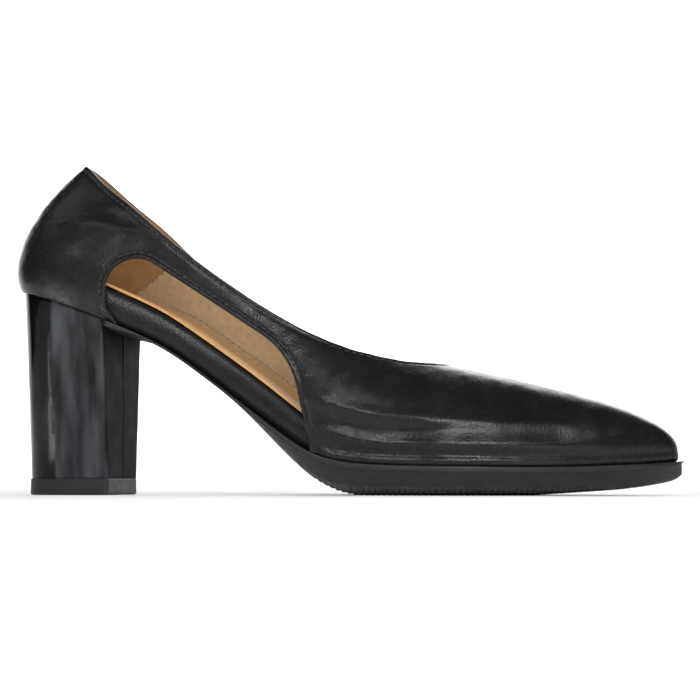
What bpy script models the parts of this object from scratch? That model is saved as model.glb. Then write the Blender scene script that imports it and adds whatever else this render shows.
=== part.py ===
"""Left court shoe with a block heel and an arched cut-out in its inner side: six pieces put together.

Sizes are in millimetres in the shoe's own layout: X runs from the back of the heel to the toe, Y across
with the inner side at minus Y, and Z up from the floor. The pieces are moved to the middle of their
common box and turned into metres when their meshes are made.
"""
import math
from collections import namedtuple

import bpy
import numpy as np

MM = 0.001

# Driving sizes
WALL = 1.6
GAP = 0.3
SOCK_THICK = 1.4
OUTSOLE_CENTRE = 3.4
OUTSOLE_EDGE = 2.2
OUTSOLE_REACH = 0.9
TOE_ROUND_X = 238.4
TOE_ROUND = 5.1
TOE_RISE = 3.0
SHANK_THIN = 0.55
TOE_REACH = 2.2
TOP_BEVEL = 4.0
INNER_BEVEL = 4.0
OUTER_BEVEL = 22.0
RIM_LIFT = 0.2
LIFT_THICK = 6.0
BREAST_TOP_X = 40.2
BREAST_FLOOR_X = 41.2
HEEL_TOP_BACK_X = 4.6
HEEL_FLOOR_BACK_X = 7.6
HEEL_TOP_INNER = 23.4
HEEL_TOP_OUTER = 24.4
HEEL_FLOOR_INNER = 16.8
HEEL_FLOOR_OUTER = 17.4
HEEL_ROUND_SHARE = 0.5
LIFT_REACH = 0.4

# Mesh steps
COLUMNS = 96
SHARES = (-1, -0.93, -0.8, -0.6, -0.35, 0, 0.35, 0.6, 0.8, 0.93, 1)
ROWS = 10
COMMON_X = tuple(range(14, 240, 6))

# Wall sections round the upper, from the toe along both sides to the back of the heel. Foot is where the
# wall meets the sole, top is the topline; the outer side's topline is lower by outer_drop. Leans are
# degrees from upright, outward at the foot and outward going down at the top; rise and reach are the
# lengths over which the wall keeps those leans.
Section = namedtuple(
    "Section",
    "name foot_x inner_y outer_y top_x top_inner_y top_outer_y top_z outer_drop lean_foot rise lean_top reach",
)
SECTIONS = (
    Section("toe", 241.5, -2.0, -2.0, 161.0, 0.0, 0.0, 46.6, 0.0, 18, 15.6, 77, 50),
    Section("toe corner", 236.0, -8.5, 4.5, 160.5, -1.8, 1.8, 46.6, 0.0, 17, 15.8, 76, 47),
    Section("toe side", 224.0, -15.5, 14.5, 159.0, -5.0, 5.0, 46.5, 0.2, 15, 15.8, 73.5, 41),
    Section("forefoot", 206.0, -22.8, 25.2, 155.0, -9.5, 9.5, 46.5, 1.0, 12, 15.5, 68, 32),
    Section("ball front", 187.0, -30.2, 34.8, 148.5, -13.5, 13.8, 46.9, 2.0, 10, 16.0, 62, 24.5),
    Section("ball", 168.0, -34.5, 40.8, 140.0, -16.8, 17.5, 48.4, 4.0, 8, 16.5, 56, 19.5),
    Section("ball back", 148.0, -32.8, 41.8, 130.5, -19.3, 21.0, 50.8, 5.5, 8, 17.0, 48, 16),
    Section("vamp back", 128.0, -28.0, 38.8, 119.0, -21.3, 23.5, 55.2, 7.0, 8, 16.0, 35, 15),
    Section("waist", 108.0, -23.7, 30.2, 105.0, -22.6, 24.5, 62.5, 7.0, 8, 15.0, 22, 14),
    Section("arch", 86.0, -21.3, 25.4, 86.0, -23.6, 24.8, 74.8, 5.5, 10, 14.0, 10, 12),
    Section("shank", 62.0, -22.5, 24.2, 64.0, -24.4, 24.6, 91.5, 3.5, 12, 14.0, 4, 12),
    Section("heel front", 42.0, -25.0, 25.8, 48.5, -22.5, 22.6, 104.7, 1.8, 14, 16.0, 12, 14),
    Section("heel side", 24.0, -25.3, 25.7, 38.5, -17.0, 17.0, 112.6, 1.0, 15, 15.5, 34, 18),
    Section("heel corner", 9.5, -18.5, 18.8, 30.0, -9.0, 9.0, 120.3, 0.3, 16, 15.0, 46, 23),
    Section("heel back", 2.0, 0.0, 0.0, 26.0, 0.0, 0.0, 123.0, 0.0, 17, 14.5, 50, 25),
)

# Height of the sole line, depth of the crown under it, and depth of the insole over it, along the shoe
Bottom = namedtuple("Bottom", "x sole_z crown insole")
BOTTOM = (
    Bottom(0.0, 76.0, 0.0, 9.0),
    Bottom(20.0, 70.3, 0.0, 10.5),
    Bottom(38.0, 64.0, 0.0, 11.5),
    Bottom(50.0, 59.0, 0.1, 11.2),
    Bottom(62.0, 53.2, 0.1, 11.0),
    Bottom(77.0, 43.0, 0.4, 11.2),
    Bottom(92.0, 31.8, 1.8, 11.8),
    Bottom(104.0, 23.0, 4.2, 11.6),
    Bottom(115.0, 16.0, 6.9, 10.4),
    Bottom(126.0, 12.4, 8.2, 8.0),
    Bottom(140.0, 10.9, 7.6, 6.0),
    Bottom(155.0, 10.4, 7.4, 4.8),
    Bottom(172.0, 10.2, 6.9, 4.2),
    Bottom(190.0, 10.0, 6.3, 4.0),
    Bottom(210.0, 10.3, 5.4, 3.8),
    Bottom(228.0, 11.0, 4.5, 3.6),
    Bottom(236.0, 11.5, 3.6, 3.5),
    Bottom(242.0, 12.0, 2.7, 3.5),
)

# Corners of the cut-out seen from the side, each rounded by its radius
Corner = namedtuple("Corner", "x z radius")
CUTOUT = (
    Corner(53.0, 50.0, 0.0),
    Corner(47.5, 59.0, 4.0),
    Corner(42.4, 66.5, 8.0),
    Corner(42.4, 93.0, 10.8),
    Corner(109.0, 49.3, 30.0),
    Corner(118.5, 5.0, 0.0),
)


def spline(knots, values, periodic=False):
    """Cubic spline through values at rising knots, natural at its ends or closed on itself."""
    knots = np.asarray(knots, float)
    values = np.asarray(values, float)
    count = len(knots)
    step = np.diff(knots)
    slope = np.diff(values) / step
    matrix = np.zeros((count, count))
    right = np.zeros(count)
    for i in range(1, count - 1):
        matrix[i, i - 1:i + 2] = step[i - 1], 2 * (step[i - 1] + step[i]), step[i]
        right[i] = 6 * (slope[i] - slope[i - 1])
    if periodic:
        matrix[0, 0], matrix[0, 1], matrix[0, -2] = 2 * (step[-1] + step[0]), step[0], step[-1]
        right[0] = 6 * (slope[0] - slope[-1])
        matrix[-1, 0], matrix[-1, -1] = 1, -1
    else:
        matrix[0, 0] = matrix[-1, -1] = 1
    bend = np.linalg.solve(matrix, right)

    def at(x):
        x = np.asarray(x, float)
        i = np.clip(np.searchsorted(knots, x, side="right") - 1, 0, count - 2)
        a = (knots[i + 1] - x) / step[i]
        b = 1 - a
        curve = (a ** 3 - a) * bend[i] + (b ** 3 - b) * bend[i + 1]
        return a * values[i] + b * values[i + 1] + curve * step[i] ** 2 / 6

    return at


def smooth(low, high, x):
    """Soft step from 0 at low to 1 at high."""
    q = np.clip((np.asarray(x, float) - low) / (high - low), 0, 1)
    return q * q * (3 - 2 * q)


bottom_x = [row.x for row in BOTTOM]
sole_line = spline(bottom_x, [row.sole_z for row in BOTTOM])
crown_depth = spline(bottom_x, [row.crown for row in BOTTOM])
insole_depth = spline(bottom_x, [row.insole for row in BOTTOM])


class Upper:
    """The outer face of the upper as a closed band of wall curves from the sole line to the topline."""

    def __init__(self):
        inner = [self.row(s, s.inner_y, s.top_inner_y, 0) for s in SECTIONS]
        outer = [self.row(s, s.outer_y, s.top_outer_y, s.outer_drop) for s in SECTIONS[-2:0:-1]]
        rows = np.array(inner + outer + inner[:1], float)
        foot_step = np.hypot(*np.diff(rows[:, 0:2], axis=0).T)
        top_step = np.hypot(*np.diff(rows[:, 2:4], axis=0).T)
        self.knots = np.concatenate([[0], np.cumsum(foot_step + 0.5 * top_step)])
        self.knots /= self.knots[-1]
        self.curves = [spline(self.knots, column, periodic=True) for column in rows.T]

    @staticmethod
    def row(section, foot_y, top_y, drop):
        return (section.foot_x, foot_y, section.top_x, top_y, section.top_z - drop,
                math.radians(section.lean_foot), section.rise, math.radians(section.lean_top), section.reach)

    def foot(self, u):
        """Points of the sole line and their outward level directions."""
        u = np.asarray(u, float) % 1
        point = np.stack([self.curves[0](u), self.curves[1](u)], axis=-1)
        ahead = np.stack([c((u + 1e-4) % 1) for c in self.curves[:2]], axis=-1)
        behind = np.stack([c((u - 1e-4) % 1) for c in self.curves[:2]], axis=-1)
        run = ahead - behind
        out = np.stack([-run[..., 1], run[..., 0]], axis=-1)
        return point, out / np.linalg.norm(out, axis=-1, keepdims=True)

    def wall(self, u, v):
        """Point of the outer face: u goes round the shoe from the toe, v from the sole to the topline."""
        u = np.asarray(u, float) % 1
        v = np.asarray(v, float)[..., None]
        level, out = self.foot(u)
        top_x, top_y, top_z, lean_foot, rise, lean_top, reach = (c(u) for c in self.curves[2:])
        foot = np.stack([level[..., 0], level[..., 1], sole_line(level[..., 0]) + RIM_LIFT], axis=-1)
        top = np.stack([top_x, top_y, top_z], axis=-1)
        away = (foot - top)[..., :2] + 12 * out
        away /= np.linalg.norm(away, axis=-1, keepdims=True)
        lift = np.concatenate([out * np.sin(lean_foot)[..., None], np.cos(lean_foot)[..., None]], axis=-1)
        fall = np.concatenate([away * np.sin(lean_top)[..., None], -np.cos(lean_top)[..., None]], axis=-1)
        low = foot + lift * rise[..., None]
        high = top + fall * reach[..., None]
        return foot * (1 - v) ** 3 + 3 * low * v * (1 - v) ** 2 + 3 * high * v ** 2 * (1 - v) + top * v ** 3

    def normal(self, u, v):
        """Outward direction of the outer face."""
        around = self.wall(u + 1e-4, v) - self.wall(u - 1e-4, v)
        low = np.clip(np.asarray(v, float) - 1e-3, 0, 1)
        high = np.clip(np.asarray(v, float) + 1e-3, 0, 1)
        out = np.cross(self.wall(u, high) - self.wall(u, low), around)
        return out / np.linalg.norm(out, axis=-1, keepdims=True)


upper = Upper()


class Outline:
    """Half widths of the sole line, moved out or in by a level distance, at any place along the shoe."""

    def __init__(self, reach, toe_reach=None):
        u = np.linspace(0, 1, 801)
        point, out = upper.foot(u)
        more = np.full(len(u), float(reach))
        if toe_reach is not None:
            more += (toe_reach - reach) * smooth(200, 240, point[:, 0])
        edge = point + out * more[:, None]
        back = int(np.argmin(edge[:, 0]))
        tip = int(np.argmax(edge[:-1, 0]))
        edge = np.roll(edge[:-1], -tip, axis=0)
        back = (back - tip) % 800
        self.inner = edge[:back + 1][::-1]
        self.outer = np.concatenate([edge[back:], edge[:1]])
        self.start = float(edge[back, 0])
        self.end = float(edge[0, 0])

    def sides(self, x):
        return (float(np.interp(x, self.inner[:, 0], self.inner[:, 1])),
                float(np.interp(x, self.outer[:, 0], self.outer[:, 1])))


def bevel(share, power):
    """Part of the crown still to rise at a share of the half width: 0 in the middle, 1 at the sole line."""
    return min(abs(share), 1.0) ** power


def bottom_z(x, share):
    """Height of the shoe's bottom under the insole; share is 0 in the middle and 1 at the sole line."""
    return float(sole_line(x)) - max(float(crown_depth(x)), 0.0) * (1 - bevel(share, TOP_BEVEL))


def along(start, end, round_start):
    """Places along a plate: common ones for all plates, and closer ones toward its rounded ends."""
    near = (0.25, 0.9, 2.0, 3.8, 6.5, 10.0)
    first = [start + step for step in near] if round_start else [start]
    last = [end - step for step in reversed(near)]
    middle = [x for x in COMMON_X if first[-1] + 2 < x < last[0] - 2]
    return first + middle + last


def loft(rings):
    """Closed solid over rings with one count of points, capped flat at both ends."""
    count = len(rings[0])
    points = [tuple(p) for ring in rings for p in ring]
    faces = []
    for i in range(len(rings) - 1):
        for j in range(count):
            k = (j + 1) % count
            faces.append((i * count + j, i * count + k, (i + 1) * count + k, (i + 1) * count + j))
    last = (len(rings) - 1) * count
    half = count // 2
    for j in range(half - 1):
        faces.append((j, count - 1 - j, count - 2 - j, j + 1))
        faces.append((last + j, last + j + 1, last + count - 2 - j, last + count - 1 - j))
    return points, faces


def plate(outline, start, end, shares, low, high, round_start=True):
    """Sheet inside an outline: low and high give the heights of its two faces at a place and a share."""
    rings = []
    for x in along(start, end, round_start):
        inner, outer = outline.sides(x)
        middle, half = (inner + outer) / 2, (outer - inner) / 2
        under = [(x, middle + half * s, low(x, s)) for s in shares]
        over = [(x, middle + half * s, high(x, s)) for s in reversed(shares)]
        rings.append(under + over)
    return loft(rings)


def make_upper():
    u = np.linspace(0, 1, COLUMNS, endpoint=False)
    rows = []
    for v in np.linspace(0, 1, ROWS + 1):
        rows.append(upper.wall(u, np.full(COLUMNS, v)))
    for v in np.linspace(1, 0, ROWS + 1):
        level = np.full(COLUMNS, v)
        rows.append(upper.wall(u, level) - WALL * upper.normal(u, level))
    rows[-1][:, 2] = np.maximum(rows[-1][:, 2], rows[0][:, 2])
    points = [tuple(p) for row in rows for p in row]
    faces = []
    for i in range(len(rows)):
        k = (i + 1) % len(rows)
        for j in range(COLUMNS):
            n = (j + 1) % COLUMNS
            faces.append((i * COLUMNS + j, k * COLUMNS + j, k * COLUMNS + n, i * COLUMNS + n))
    return points, faces


def rounded(corners):
    """Outline of a polygon whose corners are arcs of their own radius."""
    outline = []
    for i, corner in enumerate(corners):
        here = np.array([corner.x, corner.z])
        before = np.array([corners[i - 1].x, corners[i - 1].z]) - here
        after = np.array([corners[(i + 1) % len(corners)].x, corners[(i + 1) % len(corners)].z]) - here
        if corner.radius == 0:
            outline.append(here)
            continue
        before /= np.linalg.norm(before)
        after /= np.linalg.norm(after)
        half = math.acos(float(np.clip(before @ after, -1, 1))) / 2
        middle = (before + after) / np.linalg.norm(before + after)
        centre = here + middle * corner.radius / math.sin(half)
        turn = math.pi / 2 - half
        for q in np.linspace(-1, 1, 9):
            side = after - middle * (after @ middle)
            side /= np.linalg.norm(side)
            arm = -middle * math.cos(q * turn) + side * math.sin(q * turn)
            outline.append(centre + arm * corner.radius)
    return outline


def make_cutter():
    outline = rounded(CUTOUT)
    count = len(outline)
    points = [(p[0], -60.0, p[1]) for p in outline] + [(p[0], 0.0, p[1]) for p in outline]
    faces = [tuple(range(count - 1, -1, -1)), tuple(range(count, 2 * count))]
    for j in range(count):
        n = (j + 1) % count
        faces.append((j, n, n + count, j + count))
    return points, faces


def make_insole():
    outline = Outline(-(WALL + GAP))
    return plate(outline, outline.start, outline.end, SHARES, bottom_z, insole_top)


def insole_top(x, share):
    return float(sole_line(x) + insole_depth(x))


def make_sock():
    outline = Outline(-(WALL + 2 * GAP))
    shares = (-1, -0.6, -0.2, 0.2, 0.6, 1)
    return plate(outline, outline.start, outline.end, shares,
                 lambda x, s: insole_top(x, s) + GAP,
                 lambda x, s: insole_top(x, s) + GAP + SOCK_THICK)


def outsole_top(x, share):
    return bottom_z(x, share) - GAP


def outsole_floor(x, share):
    """Underside of the outsole, held flat on the floor under the ball."""
    thick = OUTSOLE_CENTRE + (OUTSOLE_EDGE - OUTSOLE_CENTRE) * abs(share) ** 3
    thick *= 1 - SHANK_THIN * float(smooth(43, 54, x) * (1 - smooth(84, 106, x)))
    tip = min(max((x - TOE_ROUND_X) / TOE_ROUND, 0.0), 1.0)
    thick = max(thick - TOE_RISE * (1 - math.sqrt(1 - tip ** 2)), 0.5)
    power = INNER_BEVEL if share < 0 else OUTER_BEVEL
    fall = max(float(crown_depth(x)), 0.0) * (1 - bevel(share, power))
    return max(float(sole_line(x)) - fall - GAP - thick, 0.0)


def make_outsole():
    outline = Outline(OUTSOLE_REACH, TOE_REACH)
    return plate(outline, BREAST_FLOOR_X + GAP, outline.end, SHARES, outsole_floor, outsole_top, round_start=False)


def heel_shape(back, front):
    """Level outline of the heel: places along it with the share of its half width, round at the back."""
    corner = (front - back) * HEEL_ROUND_SHARE
    shape = []
    for q in np.linspace(0.03, 1, 11):
        turn = q * math.pi / 2
        x = back + corner * (1 - math.cos(turn))
        shape.append((x, math.sin(turn) ** 0.9))
    shape += [(front - 1.2, 1.0), (front, 0.955)]
    return shape


def heel_ring(back, front, inner_half, outer_half, height):
    shape = heel_shape(back, front)
    inner = [(x, -inner_half * y, height(x)) for x, y in shape]
    outer = [(x, outer_half * y, height(x)) for x, y in reversed(shape)]
    return inner + outer


def make_heel():
    foot = heel_ring(HEEL_FLOOR_BACK_X, BREAST_FLOOR_X, HEEL_FLOOR_INNER, HEEL_FLOOR_OUTER,
                     lambda x: LIFT_THICK + GAP)
    head = heel_ring(HEEL_TOP_BACK_X, BREAST_TOP_X, HEEL_TOP_INNER, HEEL_TOP_OUTER,
                     lambda x: float(sole_line(x)) - GAP)
    foot, head = np.array(foot), np.array(head)
    return loft([foot + (head - foot) * q for q in (0, 0.34, 0.67, 1)])


def make_lift():
    back, front = HEEL_FLOOR_BACK_X - LIFT_REACH, BREAST_FLOOR_X
    inner, outer = HEEL_FLOOR_INNER + LIFT_REACH, HEEL_FLOOR_OUTER + LIFT_REACH
    return loft([heel_ring(back, front, inner, outer, lambda x: z) for z in (0.0, LIFT_THICK)])


def material(name, colour, rough):
    made = bpy.data.materials.new(name)
    made.use_nodes = True
    shader = made.node_tree.nodes["Principled BSDF"]
    shader.inputs["Base Color"].default_value = (*colour, 1)
    shader.inputs["Roughness"].default_value = rough
    return made


def solid(name, shape, shift, colour=None, rough=0.5):
    points, faces = shape
    mesh = bpy.data.meshes.new(name)
    mesh.from_pydata([tuple((np.asarray(p) - shift) * MM) for p in points], [], faces)
    mesh.validate()
    thing = bpy.data.objects.new(name, mesh)
    bpy.context.scene.collection.objects.link(thing)
    if colour is not None:
        mesh.materials.append(material(name, colour, rough))
    return thing


def main():
    for thing in list(bpy.data.objects):
        bpy.data.objects.remove(thing)
    shapes = {
        "upper": (make_upper(), (0.018, 0.018, 0.019), 0.42),
        "insole": (make_insole(), (0.02, 0.02, 0.02), 0.5),
        "sock_lining": (make_sock(), (0.55, 0.33, 0.13), 0.6),
        "outsole": (make_outsole(), (0.05, 0.048, 0.046), 0.6),
        "heel": (make_heel(), (0.02, 0.02, 0.023), 0.12),
        "top_lift": (make_lift(), (0.025, 0.025, 0.025), 0.7),
    }
    every = np.concatenate([np.array(shape[0]) for shape, _, _ in shapes.values()])
    low, high = every.min(axis=0), every.max(axis=0)
    shift = np.array([(low[0] + high[0]) / 2, (low[1] + high[1]) / 2, low[2]])
    root = bpy.data.objects.new("root", None)
    bpy.context.scene.collection.objects.link(root)
    made = {}
    for name, (shape, colour, rough) in shapes.items():
        made[name] = solid(name, shape, shift, colour, rough)
        made[name].parent = root
    cutter = solid("cutout_cutter", make_cutter(), shift)
    cutter.hide_render = True
    cutter.display_type = "WIRE"
    cut = made["upper"].modifiers.new("cutout", "BOOLEAN")
    cut.operation = "DIFFERENCE"
    cut.solver = "EXACT"
    cut.object = cutter


main()
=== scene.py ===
"""Looks of the left court shoe: leather, linings, stitches, sole, heel, floor, light and camera.

Sizes are in millimetres in the shoe's own layout: X runs from the back of the heel to the toe, Y across
with the inner side at minus Y, and Z up from the floor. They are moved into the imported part's frame, in
metres, when a mesh is made.
"""
import math
from collections import namedtuple

import bpy
import numpy as np
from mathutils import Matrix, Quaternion, Vector


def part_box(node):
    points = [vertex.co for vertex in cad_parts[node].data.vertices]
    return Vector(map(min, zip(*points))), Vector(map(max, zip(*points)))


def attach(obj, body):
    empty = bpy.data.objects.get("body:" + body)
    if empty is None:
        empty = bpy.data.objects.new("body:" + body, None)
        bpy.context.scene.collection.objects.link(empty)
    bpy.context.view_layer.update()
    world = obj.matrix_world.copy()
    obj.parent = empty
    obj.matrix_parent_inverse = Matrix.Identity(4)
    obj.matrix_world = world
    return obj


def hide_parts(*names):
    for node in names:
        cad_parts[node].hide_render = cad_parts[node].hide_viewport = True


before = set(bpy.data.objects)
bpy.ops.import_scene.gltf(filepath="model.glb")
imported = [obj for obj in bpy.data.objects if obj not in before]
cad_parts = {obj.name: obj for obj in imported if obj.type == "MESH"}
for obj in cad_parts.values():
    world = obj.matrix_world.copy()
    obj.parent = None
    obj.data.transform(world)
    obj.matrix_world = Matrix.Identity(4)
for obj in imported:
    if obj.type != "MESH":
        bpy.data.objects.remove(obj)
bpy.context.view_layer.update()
MM = 0.001

# Sizes shared with the solids
WALL = 1.6
GAP = 0.3
SOCK_THICK = 1.4
OUTSOLE_CENTRE = 3.4
OUTSOLE_EDGE = 2.2
OUTSOLE_REACH = 0.9
TOE_ROUND_X = 238.4
TOE_ROUND = 5.1
TOE_RISE = 3.0
SHANK_THIN = 0.55
TOE_REACH = 2.2
TOP_BEVEL = 4.0
INNER_BEVEL = 4.0
OUTER_BEVEL = 22.0
RIM_LIFT = 0.2
LIFT_THICK = 6.0
BREAST_TOP_X = 40.2
BREAST_FLOOR_X = 41.2
HEEL_TOP_BACK_X = 4.6
HEEL_FLOOR_BACK_X = 7.6
HEEL_TOP_INNER = 23.4
HEEL_TOP_OUTER = 24.4
HEEL_FLOOR_INNER = 16.8
HEEL_FLOOR_OUTER = 17.4
HEEL_ROUND_SHARE = 0.5
LIFT_REACH = 0.4

# Leather, lining and seams
LEATHER = 1.1
LINING_OUT = 1.16
LINING_IN = 1.56
LINING_CUT = 0.55
LINING_TOP = 0.3
LINING_FOOT = 0.9
GRIP_LAP = 1.2
GRIP_PROUD = 0.12
EDGE_ROUND = 0.5
RIM_SINK = 0.15
INSOLE_CORNER = 1.5
STITCH_PITCH = 2.6
STITCH_LENGTH = 1.9
STITCH_WIDTH = 0.5
STITCH_HEIGHT = 0.34
STITCH_SLANT = 0.10
STITCH_SINK = 0.12
TOPLINE_ROW = 1.9
CUTOUT_ROW = 2.1
LINING_ROW = 2.3
SOCK_ROW = 1.7

# Relief of the leather
TROUGH_UP = 3.1
TROUGH_DEPTH = 0.95
BAND_UP = 6.6
COUNTER_Z = 98.4

# Ribs of the tread, its smooth border and its rounded edge
RIB_PITCH = 2.1
RIB_DEPTH = 0.42
RIB_SLANT = math.tan(math.radians(8))
RIB_START = 112.0
RIB_END = 229.0
TREAD_START = 52.0
BORDER_INNER = 8.0
BORDER_OUTER = 2.7
SOLE_ROUND = 0.8

# Breast corner and ridge of the heel, where the grey reflection painted on its flank starts and fades, and
# the rounded side of its lift as heights and insets
BREAST_CORNER = 1.6
FLANK_RIDGE = 1.5
REFLECTION_PAINT_START = 4.0
REFLECTION_PAINT_FADE = 0.0015
LIFT_PROFILE = (
    (0, 0.75), (0.08, 0.4), (0.3, 0.15), (0.7, 0.02), (1.2, 0), (2.4, 0.03),
    (3.6, 0.03), (4.8, 0), (5.6, 0.02), (5.9, 0.1), (6.0, 0.25),
)

# Places across the insole and the sock, as shares of the half width
PLATE_SHARES = (-1, -0.9, -0.7, -0.45, -0.2, 0, 0.2, 0.45, 0.7, 0.9, 1)

# Wall sections round the upper, from the toe along both sides to the back of the heel
Section = namedtuple(
    "Section",
    "name foot_x inner_y outer_y top_x top_inner_y top_outer_y top_z outer_drop "
    "lean_foot rise lean_top reach",
)
SECTIONS = (
    Section("toe", 241.5, -2.0, -2.0, 161.0, 0.0, 0.0, 46.6, 0.0, 18, 15.6, 77, 50),
    Section("toe corner", 236.0, -8.5, 4.5, 160.5, -1.8, 1.8, 46.6, 0.0, 17, 15.8, 76, 47),
    Section("toe side", 224.0, -15.5, 14.5, 159.0, -5.0, 5.0, 46.5, 0.2, 15, 15.8, 73.5, 41),
    Section("forefoot", 206.0, -22.8, 25.2, 155.0, -9.5, 9.5, 46.5, 1.0, 12, 15.5, 68, 32),
    Section("ball front", 187.0, -30.2, 34.8, 148.5, -13.5, 13.8, 46.9, 2.0, 10, 16.0, 62, 24.5),
    Section("ball", 168.0, -34.5, 40.8, 140.0, -16.8, 17.5, 48.4, 4.0, 8, 16.5, 56, 19.5),
    Section("ball back", 148.0, -32.8, 41.8, 130.5, -19.3, 21.0, 50.8, 5.5, 8, 17.0, 48, 16),
    Section("vamp back", 128.0, -28.0, 38.8, 119.0, -21.3, 23.5, 55.2, 7.0, 8, 16.0, 35, 15),
    Section("waist", 108.0, -23.7, 30.2, 105.0, -22.6, 24.5, 62.5, 7.0, 8, 15.0, 22, 14),
    Section("arch", 86.0, -21.3, 25.4, 86.0, -23.6, 24.8, 74.8, 5.5, 10, 14.0, 10, 12),
    Section("shank", 62.0, -22.5, 24.2, 64.0, -24.4, 24.6, 91.5, 3.5, 12, 14.0, 4, 12),
    Section("heel front", 42.0, -25.0, 25.8, 48.5, -22.5, 22.6, 104.7, 1.8, 14, 16.0, 12, 14),
    Section("heel side", 24.0, -25.3, 25.7, 38.5, -17.0, 17.0, 112.6, 1.0, 15, 15.5, 34, 18),
    Section("heel corner", 9.5, -18.5, 18.8, 30.0, -9.0, 9.0, 120.3, 0.3, 16, 15.0, 46, 23),
    Section("heel back", 2.0, 0.0, 0.0, 26.0, 0.0, 0.0, 123.0, 0.0, 17, 14.5, 50, 25),
)

# Height of the sole line, depth of the crown under it, and depth of the insole over it, along the shoe
Bottom = namedtuple("Bottom", "x sole_z crown insole")
BOTTOM = (
    Bottom(0.0, 76.0, 0.0, 9.0),
    Bottom(20.0, 70.3, 0.0, 10.5),
    Bottom(38.0, 64.0, 0.0, 11.5),
    Bottom(50.0, 59.0, 0.1, 11.2),
    Bottom(62.0, 53.2, 0.1, 11.0),
    Bottom(77.0, 43.0, 0.4, 11.2),
    Bottom(92.0, 31.8, 1.8, 11.8),
    Bottom(104.0, 23.0, 4.2, 11.6),
    Bottom(115.0, 16.0, 6.9, 10.4),
    Bottom(126.0, 12.4, 8.2, 8.0),
    Bottom(140.0, 10.9, 7.6, 6.0),
    Bottom(155.0, 10.4, 7.4, 4.8),
    Bottom(172.0, 10.2, 6.9, 4.2),
    Bottom(190.0, 10.0, 6.3, 4.0),
    Bottom(210.0, 10.3, 5.4, 3.8),
    Bottom(228.0, 11.0, 4.5, 3.6),
    Bottom(236.0, 11.5, 3.6, 3.5),
    Bottom(242.0, 12.0, 2.7, 3.5),
)

# Corners of the cut-out seen from the side, each rounded by its radius
Corner = namedtuple("Corner", "x z radius")
CUTOUT = (
    Corner(53.0, 50.0, 0.0),
    Corner(47.5, 59.0, 4.0),
    Corner(42.4, 66.5, 8.0),
    Corner(42.4, 93.0, 10.8),
    Corner(109.0, 49.3, 30.0),
    Corner(118.5, 5.0, 0.0),
)

# Seam between the heel grip and the quarter lining, two points of the side view
SEAM = ((47.5, 86.7), (56.1, 92.9))

# The solids' place in the frame, read off the top lift's own box
lift_low, lift_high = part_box("top_lift")
SHIFT = np.array([
    BREAST_FLOOR_X - lift_high[0] / MM,
    -(HEEL_FLOOR_INNER + LIFT_REACH) - lift_low[1] / MM,
    0.0,
])


def spline(knots, values, periodic=False):
    """Cubic spline through values at rising knots, natural at its ends or closed on itself."""
    knots = np.asarray(knots, float)
    values = np.asarray(values, float)
    count = len(knots)
    step = np.diff(knots)
    slope = np.diff(values) / step
    matrix = np.zeros((count, count))
    right = np.zeros(count)
    for i in range(1, count - 1):
        matrix[i, i - 1:i + 2] = step[i - 1], 2 * (step[i - 1] + step[i]), step[i]
        right[i] = 6 * (slope[i] - slope[i - 1])
    if periodic:
        matrix[0, 0], matrix[0, 1], matrix[0, -2] = 2 * (step[-1] + step[0]), step[0], step[-1]
        right[0] = 6 * (slope[0] - slope[-1])
        matrix[-1, 0], matrix[-1, -1] = 1, -1
    else:
        matrix[0, 0] = matrix[-1, -1] = 1
    bend = np.linalg.solve(matrix, right)

    def at(x):
        x = np.asarray(x, float)
        i = np.clip(np.searchsorted(knots, x, side="right") - 1, 0, count - 2)
        a = (knots[i + 1] - x) / step[i]
        b = 1 - a
        curve = (a ** 3 - a) * bend[i] + (b ** 3 - b) * bend[i + 1]
        return a * values[i] + b * values[i + 1] + curve * step[i] ** 2 / 6

    return at


def smooth(low, high, x):
    """Soft step from 0 at low to 1 at high."""
    q = np.clip((np.asarray(x, float) - low) / (high - low), 0, 1)
    return q * q * (3 - 2 * q)


def hump(x, middle, width):
    """Soft hill of height 1."""
    return np.exp(-((x - middle) / width) ** 2)


def unit(rows):
    """Directions brought to length 1."""
    return rows / np.linalg.norm(rows, axis=-1, keepdims=True)


bottom_x = [row.x for row in BOTTOM]
sole_line = spline(bottom_x, [row.sole_z for row in BOTTOM])
crown_curve = spline(bottom_x, [row.crown for row in BOTTOM])
insole_depth = spline(bottom_x, [row.insole for row in BOTTOM])


def crown_depth(x):
    return np.maximum(crown_curve(x), 0)


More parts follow.
